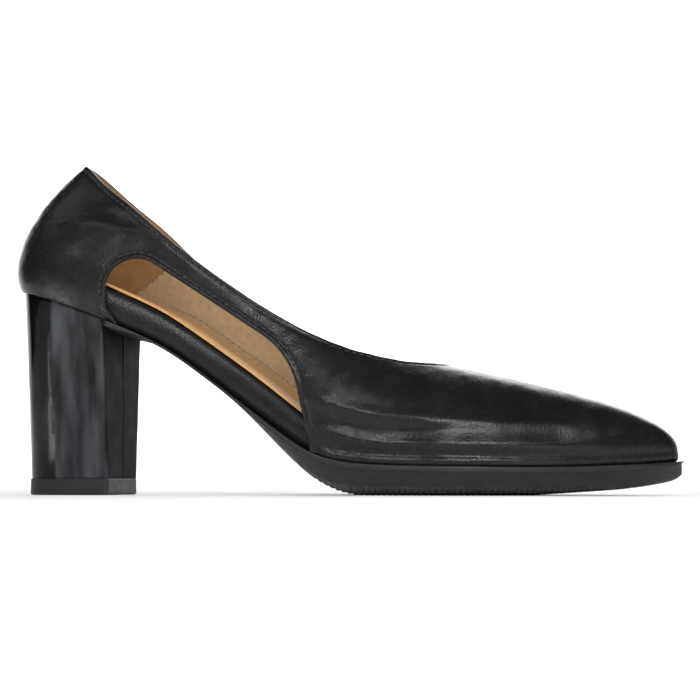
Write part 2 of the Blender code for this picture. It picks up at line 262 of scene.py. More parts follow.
class Upper:
    """The outer face of the upper as a closed band of wall curves from the sole line to the topline."""

    def __init__(self):
        inner = [self.row(s, s.inner_y, s.top_inner_y, 0) for s in SECTIONS]
        outer = [self.row(s, s.outer_y, s.top_outer_y, s.outer_drop) for s in SECTIONS[-2:0:-1]]
        rows = np.array(inner + outer + inner[:1], float)
        foot_step = np.hypot(*np.diff(rows[:, 0:2], axis=0).T)
        top_step = np.hypot(*np.diff(rows[:, 2:4], axis=0).T)
        knots = np.concatenate([[0], np.cumsum(foot_step + 0.5 * top_step)])
        knots /= knots[-1]
        self.back = knots[len(SECTIONS) - 1]
        self.curves = [spline(knots, column, periodic=True) for column in rows.T]

    @staticmethod
    def row(section, foot_y, top_y, drop):
        return (section.foot_x, foot_y, section.top_x, top_y, section.top_z - drop,
                math.radians(section.lean_foot), section.rise,
                math.radians(section.lean_top), section.reach)

    def foot(self, u):
        """Points of the sole line and their outward level directions."""
        u = np.asarray(u, float) % 1
        point = np.stack([self.curves[0](u), self.curves[1](u)], axis=-1)
        run_x, run_y = (c((u + 1e-4) % 1) - c((u - 1e-4) % 1) for c in self.curves[:2])
        return point, unit(np.stack([-run_y, run_x], axis=-1))

    def wall(self, u, v):
        """Point of the outer face: u goes round the shoe from the toe, v from the sole to the topline."""
        u = np.asarray(u, float) % 1
        v = np.asarray(v, float)[..., None]
        level, out = self.foot(u)
        top_x, top_y, top_z, lean_foot, rise, lean_top, reach = (c(u) for c in self.curves[2:])
        foot = np.stack([level[..., 0], level[..., 1], sole_line(level[..., 0]) + RIM_LIFT], axis=-1)
        top = np.stack([top_x, top_y, top_z], axis=-1)
        away = unit((foot - top)[..., :2] + 12 * out)
        lift = np.concatenate([out * np.sin(lean_foot)[..., None], np.cos(lean_foot)[..., None]], axis=-1)
        fall = np.concatenate([away * np.sin(lean_top)[..., None], -np.cos(lean_top)[..., None]], axis=-1)
        low = foot + lift * rise[..., None]
        high = top + fall * reach[..., None]
        return (foot * (1 - v) ** 3 + 3 * low * v * (1 - v) ** 2
                + 3 * high * v ** 2 * (1 - v) + top * v ** 3)

    def normal(self, u, v):
        """Outward direction of the outer face."""
        around = self.wall(u + 1e-4, v) - self.wall(u - 1e-4, v)
        low = np.clip(np.asarray(v, float) - 1e-3, 0, 1)
        high = np.clip(np.asarray(v, float) + 1e-3, 0, 1)
        return unit(np.cross(self.wall(u, high) - self.wall(u, low), around))


upper = Upper()


class Outline:
    """Half widths of the sole line, moved out or in by a level distance, at any place along the shoe."""

    def __init__(self, reach, toe_reach=None):
        u = np.linspace(0, 1, 2401)
        point, out = upper.foot(u)
        more = np.full(len(u), float(reach))
        if toe_reach is not None:
            more += (toe_reach - reach) * smooth(200, 240, point[:, 0])
        edge = (point + out * more[:, None])[:-1]
        edge = np.roll(edge, -int(np.argmax(edge[:, 0])), axis=0)
        back = int(np.argmin(edge[:, 0]))
        self.inner = edge[:back + 1][::-1]
        self.outer = np.concatenate([edge[back:], edge[:1]])
        self.start = float(edge[back, 0])
        self.end = float(edge[0, 0])

    def sides(self, x):
        return (np.interp(x, self.inner[:, 0], self.inner[:, 1]),
                np.interp(x, self.outer[:, 0], self.outer[:, 1]))


def rounded(corners, arc=33):
    """Outline of a polygon whose corners are arcs of their own radius."""
    outline = []
    places = np.array([(corner.x, corner.z) for corner in corners])
    for i, corner in enumerate(corners):
        here = places[i]
        before = places[i - 1] - here
        after = places[(i + 1) % len(corners)] - here
        if corner.radius == 0:
            outline.append(here)
            continue
        before /= np.linalg.norm(before)
        after /= np.linalg.norm(after)
        half = math.acos(float(np.clip(before @ after, -1, 1))) / 2
        middle = (before + after) / np.linalg.norm(before + after)
        centre = here + middle * corner.radius / math.sin(half)
        turn = math.pi / 2 - half
        side = after - middle * (after @ middle)
        side /= np.linalg.norm(side)
        for q in np.linspace(-1, 1, arc):
            arm = -middle * math.cos(q * turn) + side * math.sin(q * turn)
            outline.append(centre + arm * corner.radius)
    return np.array(outline)


CUT_LINE = rounded(CUTOUT)


def cut_distance(x, z):
    """Distance to the cut-out's edge in the side view, negative inside the cut-out."""
    here = np.stack([x, z], axis=-1)[:, None, :]
    start = CUT_LINE[None]
    run = np.roll(CUT_LINE, -1, axis=0)[None] - start
    share = np.clip(((here - start) * run).sum(-1) / (run ** 2).sum(-1), 0, 1)
    away = np.linalg.norm(here - start - share[..., None] * run, axis=-1).min(axis=1)
    end = start + run
    spans = (start[..., 1] > here[..., 1]) != (end[..., 1] > here[..., 1])
    height = np.where(np.abs(run[..., 1]) < 1e-9, 1e-9, run[..., 1])
    cross = start[..., 0] + (here[..., 1] - start[..., 1]) / height * run[..., 0]
    inside = (spans & (here[..., 0] < cross)).sum(axis=1) % 2 == 1
    return np.where(inside, -away, away)


def seam_distance(x, z):
    """Distance in front of the heel grip's seam in the side view, negative over the heel grip."""
    (x0, z0), (x1, z1) = SEAM
    length = math.hypot(x1 - x0, z1 - z0)
    return ((x - x0) * (z1 - z0) - (z - z0) * (x1 - x0)) / length


# Meshes

def add_object(name, data):
    thing = bpy.data.objects.new(name, data)
    bpy.context.scene.collection.objects.link(thing)
    return thing


def smooth_mesh(name, points, faces, *materials):
    mesh = bpy.data.meshes.new(name)
    mesh.from_pydata(points, [], faces)
    mesh.polygons.foreach_set("use_smooth", np.ones(len(mesh.polygons), bool))
    for material in materials:
        mesh.materials.append(material)
    return mesh


def ring_faces(rings, count, start=0):
    """Faces of a closed body made of rings of points, with a cap on each end."""
    faces = []
    for i in range(rings - 1):
        low = start + i * count
        for j in range(count):
            k = (j + 1) % count
            faces.append((low + j, low + k, low + count + k, low + count + j))
    last = start + (rings - 1) * count
    faces.append(tuple(range(start + count - 1, start - 1, -1)))
    faces.append(tuple(range(last, last + count)))
    return faces


class Lattice:
    """Fine grid over the upper's outer face, with lengths along each wall curve to both of its ends."""

    COLUMNS = 480
    FOOT_STEPS = (0, 0.4, 0.9, 1.5, 2.2, 3.0, 3.9, 4.9)
    TOP_STEPS = (0, 0.1, 0.25, 0.5, 0.9, 1.4, 2.0, 2.7, 3.5)
    MIDDLE_ROWS = 46

    def __init__(self):
        u = np.linspace(0, 1, self.COLUMNS, endpoint=False)
        fine = np.linspace(0, 1, 241)
        curve = upper.wall(u[:, None] + 0 * fine, fine + 0 * u[:, None])
        step = np.linalg.norm(np.diff(curve, axis=1), axis=2)
        run = np.concatenate([np.zeros((len(u), 1)), np.cumsum(step, axis=1)], axis=1)
        up, v = [], []
        for along in run:
            low, high = self.FOOT_STEPS[-1], along[-1] - self.TOP_STEPS[-1]
            middle = np.linspace(low, high, self.MIDDLE_ROWS + 2)[1:-1]
            row = np.concatenate([self.FOOT_STEPS, middle, along[-1] - np.array(self.TOP_STEPS[::-1])])
            up.append(row)
            v.append(np.interp(row, along, fine))
        around = np.repeat(u[:, None], len(up[0]), axis=1)
        self.up = np.array(up)
        self.down = run[:, -1:] - self.up
        self.point = upper.wall(around, np.array(v))
        self.normal = upper.normal(around, np.array(v))
        self.inner = around < upper.back
        x, z = self.point[..., 0], self.point[..., 2]
        self.cut = np.full(x.shape, 99.0)
        self.cut[self.inner] = cut_distance(x[self.inner], z[self.inner])
        self.seam = seam_distance(x, z)

    def column_path(self, measure, value, columns):
        """Points and normals where a measure reaches a value, going along the columns."""
        points, normals = [], []
        for i in columns:
            order = np.argsort(measure[i])
            known = measure[i][order]
            points.append([np.interp(value, known, self.point[i, order, k]) for k in range(3)])
            normals.append([np.interp(value, known, self.normal[i, order, k]) for k in range(3)])
        return np.array(points), np.array(normals)

    def topline_path(self, down):
        """Points and normals all round the shoe, a length down from the topline."""
        return self.column_path(self.down, down, list(range(self.COLUMNS)) + [0])

    def side_path(self, places, inner=True):
        """Points and normals of the wall at places of the side view."""
        side = self.inner if inner else ~self.inner
        flat = np.argwhere(side)
        xz = self.point[side][:, [0, 2]]
        points, normals = [], []
        for place in places:
            i, j = flat[np.argmin(((xz - place) ** 2).sum(axis=1))]
            j = int(np.clip(j, 1, self.point.shape[1] - 2))
            here = self.point[i, j]
            across = (self.point[(i + 1) % self.COLUMNS, j] - self.point[i - 1, j]) / 2
            rise = (self.point[i, j + 1] - self.point[i, j - 1]) / 2
            matrix = np.array([[across[0], rise[0]], [across[2], rise[2]]])
            a, c = np.linalg.solve(matrix, np.asarray(place) - here[[0, 2]])
            points.append(here + across * a + rise * c)
            normals.append(self.normal[i, j])
        return np.array(points), np.array(normals)


lattice = Lattice()


class Sheet:
    """The lattice as loose polygons, trimmed along lines and then given a thickness."""

    POINT, NORMAL = slice(0, 3), slice(3, 6)
    UP, DOWN, CUT, SEAM = 6, 7, 8, 9
    SNAP = 0.03

    def __init__(self):
        block = np.dstack([lattice.point, lattice.normal,
                           lattice.up, lattice.down, lattice.cut, lattice.seam])
        columns, rows = block.shape[:2]
        self.data = block.reshape(columns * rows, -1)
        self.faces = []
        for i in range(columns):
            n = (i + 1) % columns
            for j in range(rows - 1):
                self.faces.append((i * rows + j, i * rows + j + 1, n * rows + j + 1, n * rows + j))

    def split(self, field, level, keep_below=True):
        """Cuts the polygons along a level of one field, and drops those below it where asked."""
        value = self.data[:, field] - level
        value[np.abs(value) < self.SNAP] = 0
        value = value.tolist()
        made, rows, faces = {}, [], []
        count = len(self.data)

        def crossing(a, b):
            key = (min(a, b), max(a, b))
            if key not in made:
                share = value[a] / (value[a] - value[b])
                made[key] = count + len(rows)
                rows.append(self.data[a] + (self.data[b] - self.data[a]) * share)
            return made[key]

        for face in self.faces:
            here = [value[k] for k in face]
            if min(here) >= 0:
                faces.append(face)
                continue
            if max(here) <= 0:
                if keep_below:
                    faces.append(face)
                continue
            above, below = [], []
            for k, a in enumerate(face):
                b = face[(k + 1) % len(face)]
                if value[a] >= 0:
                    above.append(a)
                if value[a] <= 0:
                    below.append(a)
                if value[a] * value[b] < 0:
                    middle = crossing(a, b)
                    above.append(middle)
                    below.append(middle)
            if len(above) > 2:
                faces.append(tuple(above))
            if keep_below and len(below) > 2:
                faces.append(tuple(below))
        if rows:
            self.data = np.concatenate([self.data, rows])
        self.faces = faces
        return self

    def flip(self, field):
        self.data[:, field] *= -1
        return self

    def thick(self, outer, inner):
        """Closed sheet between two offsets along the normals."""
        used = sorted({k for face in self.faces for k in face})
        new = {k: n for n, k in enumerate(used)}
        data = self.data[used]
        normal = unit(data[:, self.NORMAL])
        point = data[:, self.POINT].copy()
        point[:, 2] -= (RIM_LIFT + GAP + RIM_SINK) * np.clip(1 - data[:, self.UP] / 2.2, 0, 1)
        front = point + normal * outer(data)[:, None]
        back = point + normal * inner(data)[:, None]
        count = len(used)
        faces = [tuple(new[k] for k in face) for face in self.faces]
        edges = {(face[k], face[(k + 1) % len(face)]) for face in faces for k in range(len(face))}
        rim = [(a, b) for a, b in edges if (b, a) not in edges]
        faces += [tuple(k + count for k in reversed(face)) for face in faces]
        faces += [(b, a, a + count, b + count) for a, b in sorted(rim)]
        return np.concatenate([front, back]), faces


def edge_fall(data, radius):
    """How far a face draws back to round the topline and the edge of the cut-out."""
    near = np.clip(np.minimum(data[:, Sheet.DOWN], data[:, Sheet.CUT]), 0, radius)
    return radius - np.sqrt(np.maximum(radius ** 2 - (radius - near) ** 2, 0))


def leather_relief(data):
    """Soft shapes of the leather over the plain wall: counter, feather, bands, seams and slight waves."""
    x, y, z = data[:, Sheet.POINT].T
    up, down, cut = data[:, Sheet.UP], data[:, Sheet.DOWN], data[:, Sheet.CUT]
    heel = 1 - smooth(46, 62, x)
    front = smooth(112, 128, x)
    relief = np.zeros(len(x))
    # Lower edge drawn in over the heel and along the feather line
    relief -= 0.8 * heel * np.clip(1 - up / 4.0, 0, 1) ** 2
    relief -= 0.5 * front * np.clip(1 - up / 1.0, 0, 1) ** 2
    # Lip and trough over the sole, then the two bands of the vamp, weaker on the outer side
    toe = smooth(188, 216, x)
    trough = hump(up, TROUGH_UP, np.where(up < TROUGH_UP, 0.95, 1.75))
    relief += front * (0.04 * hump(up, 1.1, 0.6) - (TROUGH_DEPTH - 0.65 * toe) * trough)
    band = BAND_UP + 2.4 * (1 - smooth(118, 146, x))
    bands = 0.5 * hump(up, band, 1.8) - 0.2 * hump(up, band + 5.2, 2.0)
    bands += 0.4 * hump(up, band + 10.0, 2.6)
    strength = (1.5 - 0.5 * smooth(150, 172, x)) * (1 - 0.4 * smooth(-6, 14, y))
    relief += front * (1 - toe) * strength * bands
    # Upper edge of the stiff counter
    counter = COUNTER_Z - 4.2 * smooth(34, 54, x)
    fade = (1 - smooth(50, 58, x)) * (0.35 + 0.65 * smooth(10, 26, x))
    relief += fade * (0.34 * hump(z, counter, 1.2) - 0.26 * hump(z, counter + 3.6, 2.4))
    # Folded and stitched edges
    for near, lift in ((down, 0.16), (cut, 0.30)):
        relief += lift * smooth(0, 0.5, near) * (1 - smooth(1.3, 2.0, near))
        relief -= 0.24 * hump(near, 2.1, 0.5)
        pucker = np.sin((x - 0.8 * z) * 2 * math.pi / STITCH_PITCH)
        relief += 0.05 * pucker * hump(near, 3.0, 1.0)
    # Slight waves of the hide
    relief += 0.07 * np.sin(x * 0.33 + z * 0.21 + 0.6) * np.sin(z * 0.29 - y * 0.17 + 1.3)
    relief += 0.05 * np.sin(x * 0.61 - z * 0.47 + 2.1) * np.sin(y * 0.43 + z * 0.38)
    return relief


def leather_outer(data):
    return leather_relief(data) - edge_fall(data, EDGE_ROUND)


def leather_inner(data):
    return -LEATHER + edge_fall(data, EDGE_ROUND)


def make_upper():
    sheet = Sheet().split(Sheet.CUT, 0.0, keep_below=False)
    for level in Lattice.TOP_STEPS[1:-1]:
        sheet.split(Sheet.CUT, level)
    return sheet.thick(leather_outer, leather_inner)


def lining_sheet():
    sheet = Sheet().split(Sheet.CUT, LINING_CUT, keep_below=False)
    sheet.split(Sheet.DOWN, LINING_TOP, keep_below=False)
    return sheet.split(Sheet.UP, LINING_FOOT, keep_below=False)


def make_lining():
    """Textile lining in front of the heel grip."""
    sheet = lining_sheet().split(Sheet.SEAM, 0.0, keep_below=False)
    return sheet.thick(lambda d: np.full(len(d), -LINING_OUT), lambda d: np.full(len(d), -LINING_IN))


def make_grip():
    """Suede heel grip, its front edge laid a little over the textile lining."""
    sheet = lining_sheet().flip(Sheet.SEAM).split(Sheet.SEAM, -GRIP_LAP, keep_below=False)

    def over(data):
        return 1 - smooth(-0.2, 0.6, data[:, Sheet.SEAM])

    def inner(data):
        return -LINING_IN - GRIP_PROUD - 0.3 * over(data)

    def outer(data):
        return -LINING_OUT - (LINING_IN - LINING_OUT + 0.04) * over(data)

    return sheet.thick(outer, inner)


def stitches(path, normals, lift, inward=False):
    """Row of short thread loops along a path on the wall, lifted off it along the normals."""
    normals = unit(normals)
    path = path + normals * lift
    if inward:
        normals = -normals
    step = np.linalg.norm(np.diff(path, axis=0), axis=1)
    run = np.concatenate([[0], np.cumsum(step)])
    rings, around = 6, 8
    points, faces = [], []

    def at(rows, along):
        return np.array([np.interp(along, run, rows[:, c]) for c in range(3)])

    for k in range(int(run[-1] / STITCH_PITCH)):
        middle = (k + 0.5) * STITCH_PITCH
        place = at(path, middle)
        way = at(path, middle + 0.4) - at(path, middle - 0.4)
        way = way / max(np.linalg.norm(way), 1e-9)
        up = at(normals, middle)
        up = up - way * (up @ way)
        up /= np.linalg.norm(up)
        side = np.cross(up, way)
        slant = STITCH_SLANT * side
        faces += ring_faces(rings + 1, around, len(points))
        for a in range(rings + 1):
            turn = math.pi * a / rings
            size = math.sin(turn) ** 0.7 if 0 < a < rings else 0.02
            for b in range(around):
                angle = 2 * math.pi * b / around
                offset = way * (-math.cos(turn) * STITCH_LENGTH / 2) + slant * (-math.cos(turn))
                offset = offset + side * (math.cos(angle) * size * STITCH_WIDTH / 2)
                offset = offset + up * (math.sin(angle) * size * STITCH_HEIGHT / 2)
                points.append(place + offset)
    return points, faces


def merge(*shapes):
    points, faces = [], []
    for some, more in shapes:
        start = len(points)
        points += list(some)
        faces += [tuple(k + start for k in face) for face in more]
    return points, faces


# Plates of the bottom

def plate(places, ring, heights):
    """Closed body from rings across the shoe: each ring point has its own outline, place and height.

    ring holds (outline, across, face, level) per ring point, across giving Y from the outline's two sides.
    heights gives Z from the face, the level, X, the share of the half width and Y.
    """
    columns = []
    for outline, across, face, level in ring:
        x = outline.start + (outline.end - outline.start) * places(outline)
        inner, outer = outline.sides(x)
        y = across(inner, outer)
        share = (y - (inner + outer) / 2) / np.maximum((outer - inner) / 2, 1e-6)
        z = heights(face, level, x, np.clip(share, -1, 1), y)
        columns.append(np.stack([x, y, z], axis=-1))
    block = np.stack(columns, axis=1)
    return block.reshape(-1, 3), ring_faces(*block.shape[:2])


def stations(start, end, spans):
    """Rising places from start to end, with steps set by spans of (from, to, step)."""
    places = [start]
    while places[-1] < end:
        step = 1.6
        for low, high, size in spans:
            if low <= places[-1] < high:
                step = size
        places.append(places[-1] + step)
    places[-1] = end
    return np.array(places)


def edge_side(sign):
    return lambda inner, outer: inner if sign < 0 else outer


def share_side(share):
    return lambda inner, outer: (inner + outer) / 2 + (outer - inner) / 2 * share


def bottom_z(x, share):
    """Height of the shoe's bottom under the insole; share is 0 in the middle and 1 at the sole line."""
    crown = crown_depth(x) * (1 - smooth(228, 237, x))
    return sole_line(x) - crown * (1 - np.abs(share) ** TOP_BEVEL)


def insole_top(x):
    return sole_line(x) + insole_depth(x)


def side_height(low, high, level):
    return low + (high - low) * (0.5 - 0.5 * math.cos(math.pi * level))


def rounded_plate(reach, low, high, bulge, corner, levels, power):
    """Plate with rounded sides: bulge is how far they stand out, corner how far the faces draw in."""
    flat = Outline(reach - corner)
    sides = [Outline(reach - corner + (corner + bulge) * math.sin(math.pi * q) ** power) for q in levels]
    ring = [(flat, share_side(share), "low", 0.0) for share in PLATE_SHARES]
    ring += [(side, edge_side(1), "side", q) for side, q in zip(sides, levels)]
    ring += [(flat, share_side(share), "high", 1.0) for share in reversed(PLATE_SHARES)]
    ring += [(side, edge_side(-1), "side", q) for side, q in zip(sides[::-1], levels[::-1])]

    def places(outline):
        fine = ((outline.start, outline.start + 6, 0.4), (outline.end - 6, 999, 0.4))
        x = stations(outline.start, outline.end, fine)
        share = (x - x[0]) / (x[-1] - x[0])
        fixed = np.linspace(0, 1, 170)
        grid = np.interp(fixed, np.linspace(0, 1, len(share)), share)
        return np.clip(grid, 0.00004, 0.99996)

    def heights(face, level, x, share, y):
        if face == "low":
            return low(x, share)
        if face == "high":
            return high(x)
        return side_height(low(x, np.sign(share) * np.ones_like(x)), high(x), level)

    return plate(places, ring, heights)


def make_insole():
    return rounded_plate(-(WALL + GAP), bottom_z, insole_top, bulge=0.3, corner=INSOLE_CORNER,
                         levels=np.linspace(0.06, 0.94, 13), power=0.8)


def make_sock():
    return rounded_plate(-(WALL + 3 * GAP), lambda x, share: insole_top(x) + 2 * GAP,
                         lambda x: insole_top(x) + GAP + SOCK_THICK, bulge=0.1, corner=0.4,
                         levels=np.linspace(0.1, 0.9, 7), power=0.6)


def outsole_floor(x, share):
    """Underside of the outsole, held flat on the floor under the ball."""
    thick = OUTSOLE_CENTRE + (OUTSOLE_EDGE - OUTSOLE_CENTRE) * np.abs(share) ** 3
    thick = thick * (1 - SHANK_THIN * smooth(43, 54, x) * (1 - smooth(84, 106, x)))
    tip = np.clip((x - TOE_ROUND_X) / TOE_ROUND, 0, 1)
    thick = np.maximum(thick - TOE_RISE * (1 - np.sqrt(1 - tip ** 2)), 0.5)
    power = np.where(share < 0, INNER_BEVEL, OUTER_BEVEL)
    fall = crown_depth(x) * (1 - np.abs(share) ** power)
    return np.maximum(sole_line(x) - fall - GAP - thick, 0)


def rib_mask(along, from_inner, from_outer):
    """1 where the ribs are, falling to 0 at their ends and at the smooth border."""
    mask = smooth(RIB_START, RIB_START + 1.2, along) * (1 - smooth(RIB_END - 1.2, RIB_END, along))
    mask = mask * smooth(BORDER_INNER, BORDER_INNER + 0.5, from_inner)
    return mask * smooth(BORDER_OUTER, BORDER_OUTER + 0.5, from_outer)


def make_outsole():
    """Sole with a rounded edge, a smooth border and slanting ribs under the forefoot."""
    start = BREAST_FLOOR_X + GAP
    inner_steps = (0, 0.5, 1.2, 2.2, 3.4, 4.8, 6.2, 7.4, 8.0, 8.5)
    outer_steps = (3.2, 2.7, 2.0, 1.3, 0.6, 0)
    middles = np.linspace(0, 1, 27)[1:-1]
    levels = np.linspace(0.12, 0.9, 7)
    under = Outline(OUTSOLE_REACH - SOLE_ROUND, TOE_REACH - SOLE_ROUND)

    def fit(inner, outer):
        return np.minimum(1, (outer - inner) / 26)

    def from_inner(step):
        return lambda inner, outer: inner + step * fit(inner, outer)

    def from_outer(step):
        return lambda inner, outer: outer - step * fit(inner, outer)

    def between(share):
        def across(inner, outer):
            low = inner + inner_steps[-1] * fit(inner, outer)
            high = outer - outer_steps[0] * fit(inner, outer)
            return low + (high - low) * share
        return across

    ring = [(under, from_inner(step), "low", 0.0) for step in inner_steps]
    ring += [(under, between(share), "low", 0.0) for share in middles]
    ring += [(under, from_outer(step), "low", 0.0) for step in outer_steps]
    rims = []
    for q in levels:
        less = SOLE_ROUND * (1 - math.sin(math.pi * (0.08 + 0.84 * q)) ** 0.55)
        rims.append(Outline(OUTSOLE_REACH - less, TOE_REACH - less))
    ring += [(rim, edge_side(1), "side", q) for rim, q in zip(rims, levels)]
    over = Outline(OUTSOLE_REACH - 0.6, TOE_REACH - 0.6)
    seat = Outline(-(WALL + GAP) - INSOLE_CORNER)
    ring.append((over, edge_side(1), "high", 1.0))
    ring += [(seat, share_side(share), "high", 1.0) for share in (1, 0.85, 0.5, 0, -0.5, -0.85, -1)]
    ring.append((over, edge_side(-1), "high", 1.0))
    ring += [(rim, edge_side(-1), "side", q) for rim, q in zip(rims[::-1], levels[::-1])]
    for outline, *_ in ring:
        outline.start = start
    common = stations(start, 243.0, ((108, 234, 0.35), (234, 240, 0.3), (240, 999, 0.12)))
    common = (common - common[0]) / (common[-1] - common[0])

    def heights(face, level, x, share, y):
        if face == "high":
            return bottom_z(x, share) - GAP
        if face == "side":
            edge = np.sign(share) * np.ones_like(x)
            return side_height(outsole_floor(x, edge), bottom_z(x, edge) - GAP, level)
        inner, outer = under.sides(x)
        along = x + RIB_SLANT * y
        groove = 0.5 - 0.5 * np.cos(2 * math.pi * along / RIB_PITCH)
        narrow = fit(inner, outer)
        ribs = rib_mask(along, (y - inner) / narrow + 0.01, (outer - y) / narrow + 0.01)
        lift = RIB_DEPTH * ribs * smooth(0.25, 0.9, groove)
        near = np.clip(1 - (y - inner) / 0.9, 0, 1) ** 2 + np.clip(1 - (outer - y) / 0.9, 0, 1) ** 2
        return outsole_floor(x, share) + lift + 0.5 * near * 0.4

    points, faces = plate(lambda outline: np.clip(common, 0, 0.99996), ring, heights)
    tread = []
    for face in faces[:-2]:
        numbers = [k % len(ring) for k in face]
        here = points[list(face)].mean(axis=0)
        along = here[0] + RIB_SLANT * here[1]
        inside = all(len(inner_steps) - 2 <= n <= len(inner_steps) + len(middles) + 1 for n in numbers)
        tread.append(1 if inside and TREAD_START < along < RIB_END + 1 else 0)
    return points, faces, tread + [0, 0]


# Heel

def heel_outline(back, front, inner_half, outer_half):
    """Level outline of the heel: round at the back, flat at the sides, with softened breast edges."""
    corner = (front - back) * HEEL_ROUND_SHARE
    half = []
    for q in np.linspace(0.0, 1, 44):
        turn = q * math.pi / 2
        half.append((back + corner * (1 - math.cos(turn)), max(math.sin(turn), 0) ** 0.9))
    for x in np.linspace(half[-1][0], front - BREAST_CORNER, 14)[1:]:
        half.append((x, 1.0))
    for q in np.linspace(0, 1, 8)[1:]:
        turn = q * math.pi / 2
        x = front - BREAST_CORNER + BREAST_CORNER * math.sin(turn)
        half.append((x, 1 - 0.06 * (1 - math.cos(turn))))
    edge = half[-1][1]
    inner = [(x, -inner_half * y) for x, y in half]
    outer = [(x, outer_half * y) for x, y in reversed(half[1:])]
    breast = [(front, y) for y in np.linspace(-inner_half * edge, outer_half * edge, 61)[1:-1]]
    return np.array(inner + breast + outer)


def outward(outline):
    """Level outward directions of a closed outline."""
    run = np.roll(outline, -1, axis=0) - np.roll(outline, 1, axis=0)
    return unit(np.stack([run[:, 1], -run[:, 0]], axis=1))


def make_heel():
    foot = heel_outline(HEEL_FLOOR_BACK_X, BREAST_FLOOR_X, HEEL_FLOOR_INNER, HEEL_FLOOR_OUTER)
    head = heel_outline(HEEL_TOP_BACK_X, BREAST_TOP_X, HEEL_TOP_INNER, HEEL_TOP_OUTER)
    out = outward(foot)
    rings = []
    shares = np.concatenate([[0, 0.003, 0.008], np.linspace(0.02, 0.98, 66), [0.992, 0.997, 1]])
    for q in shares:
        level = foot + (head - foot) * q
        z = LIFT_THICK + (sole_line(head[:, 0]) + 0.1 - LIFT_THICK) * q
        x, y = level.T
        wave = 0.045 * np.sin(y * 0.23 + x * 0.31 + 1.0) * np.sin(z * 0.09 + x * 0.12)
        wave += 0.03 * np.sin(x * 0.55 - z * 0.13 + 2.0) + 0.02 * np.sin(z * 0.37 + y * 0.21)
        breast = smooth(0.8, 0.98, out[:, 0])
        seam = y - 0.4 - 0.25 * math.sin(3 * q)
        wave -= 0.45 * breast * hump(seam, 0, 0.32)
        wave += 0.12 * breast * (hump(seam, 1.2, 0.8) + 0.5 * hump(seam, -1.0, 0.6))
        flat = HEEL_FLOOR_BACK_X + (HEEL_TOP_BACK_X - HEEL_FLOOR_BACK_X) * q
        flat = flat + HEEL_ROUND_SHARE * (BREAST_TOP_X - flat) - FLANK_RIDGE
        flat = flat + 0.5 * np.sin(z * 0.31) + 0.3 * np.sin(z * 0.83)
        wave += (1 - breast) * (0.10 * hump(x, flat, 0.7) - 0.06 * hump(x, flat + 1.7, 0.9))
        wave += 0.10 * hump(x, BREAST_FLOOR_X - 1.4, 0.5) * (1 - breast)
        edge = 0.12 * (1 - smooth(0, 0.008, q)) + 0.2 * smooth(0.99, 1, q)
        level = level + out * (wave - edge)[:, None]
        rings.append(np.column_stack([level, z]))
    count = len(foot)
    faces = ring_faces(len(rings), count)
    satin = out[:, 0] > 0.85
    which = [int(satin[face[0] % count] and satin[face[1] % count]) for face in faces[:-2]] + [0, 0]
    return np.concatenate(rings), faces, which


def make_lift():
    back, front = HEEL_FLOOR_BACK_X - LIFT_REACH, BREAST_FLOOR_X
    outline = heel_outline(back, front, HEEL_FLOOR_INNER + LIFT_REACH, HEEL_FLOOR_OUTER + LIFT_REACH)
    out = outward(outline)
    rings = []
    for z, inset in LIFT_PROFILE:
        rings.append(np.column_stack([outline - out * inset, np.full(len(outline), float(z))]))
    return np.concatenate(rings), ring_faces(len(rings), len(outline))


# Materials

# Place on the flank where the painted reflection starts, in the frame
FLANK_X = HEEL_FLOOR_BACK_X + HEEL_ROUND_SHARE * (BREAST_FLOOR_X - HEEL_FLOOR_BACK_X)
REFLECTION_PAINT_X = (FLANK_X - REFLECTION_PAINT_START - SHIFT[0]) * MM


